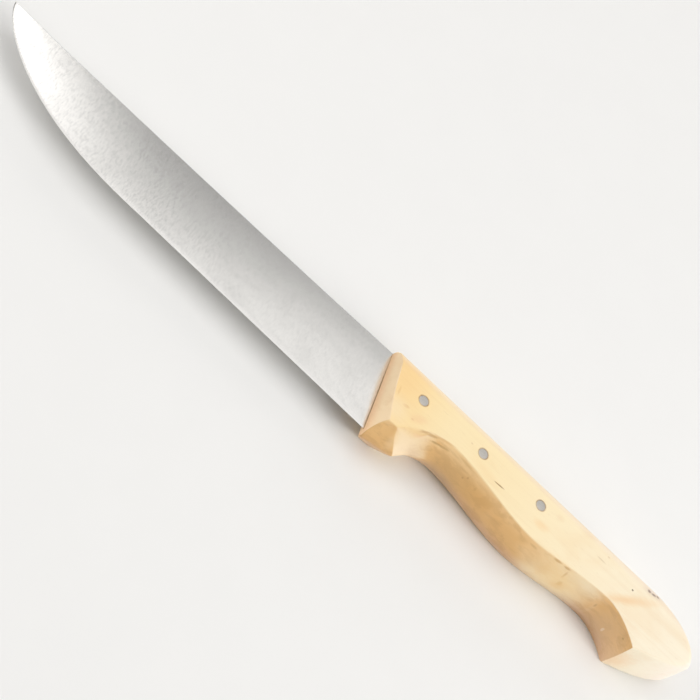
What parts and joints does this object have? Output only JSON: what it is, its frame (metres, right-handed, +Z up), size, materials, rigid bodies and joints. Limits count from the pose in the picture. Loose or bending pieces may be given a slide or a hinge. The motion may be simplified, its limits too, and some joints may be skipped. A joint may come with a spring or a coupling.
{
  "type": "butcher knife",
  "caption": "Butcher's knife: a long flat-ground steel blade with a swept tip, its tang riveted into a boxwood handle that has a guard, a finger groove and a hooked butt.",
  "frame": {"origin": "centre of the knife's outline, on the level of the flat side that it lies on", "axes": "+X from the blade's tip to the handle's butt, +Y from the cutting edge to the spine, +Z up through the handle's thickness"},
  "size_m": [0.3242, 0.0356, 0.018],
  "materials": {
    "steel": "satin, cloudy from grinding and use",
    "boxwood": "bare sanded wood, worn smooth, with faint grain and small stains",
    "aluminium": "dull, sanded flush with the wood"
  },
  "bodies": {
    "root": {"blade": "steel", "handle": "boxwood", "rivet_front": "aluminium", "rivet_middle": "aluminium", "rivet_rear": "aluminium"}
  },
  "joints": []
}
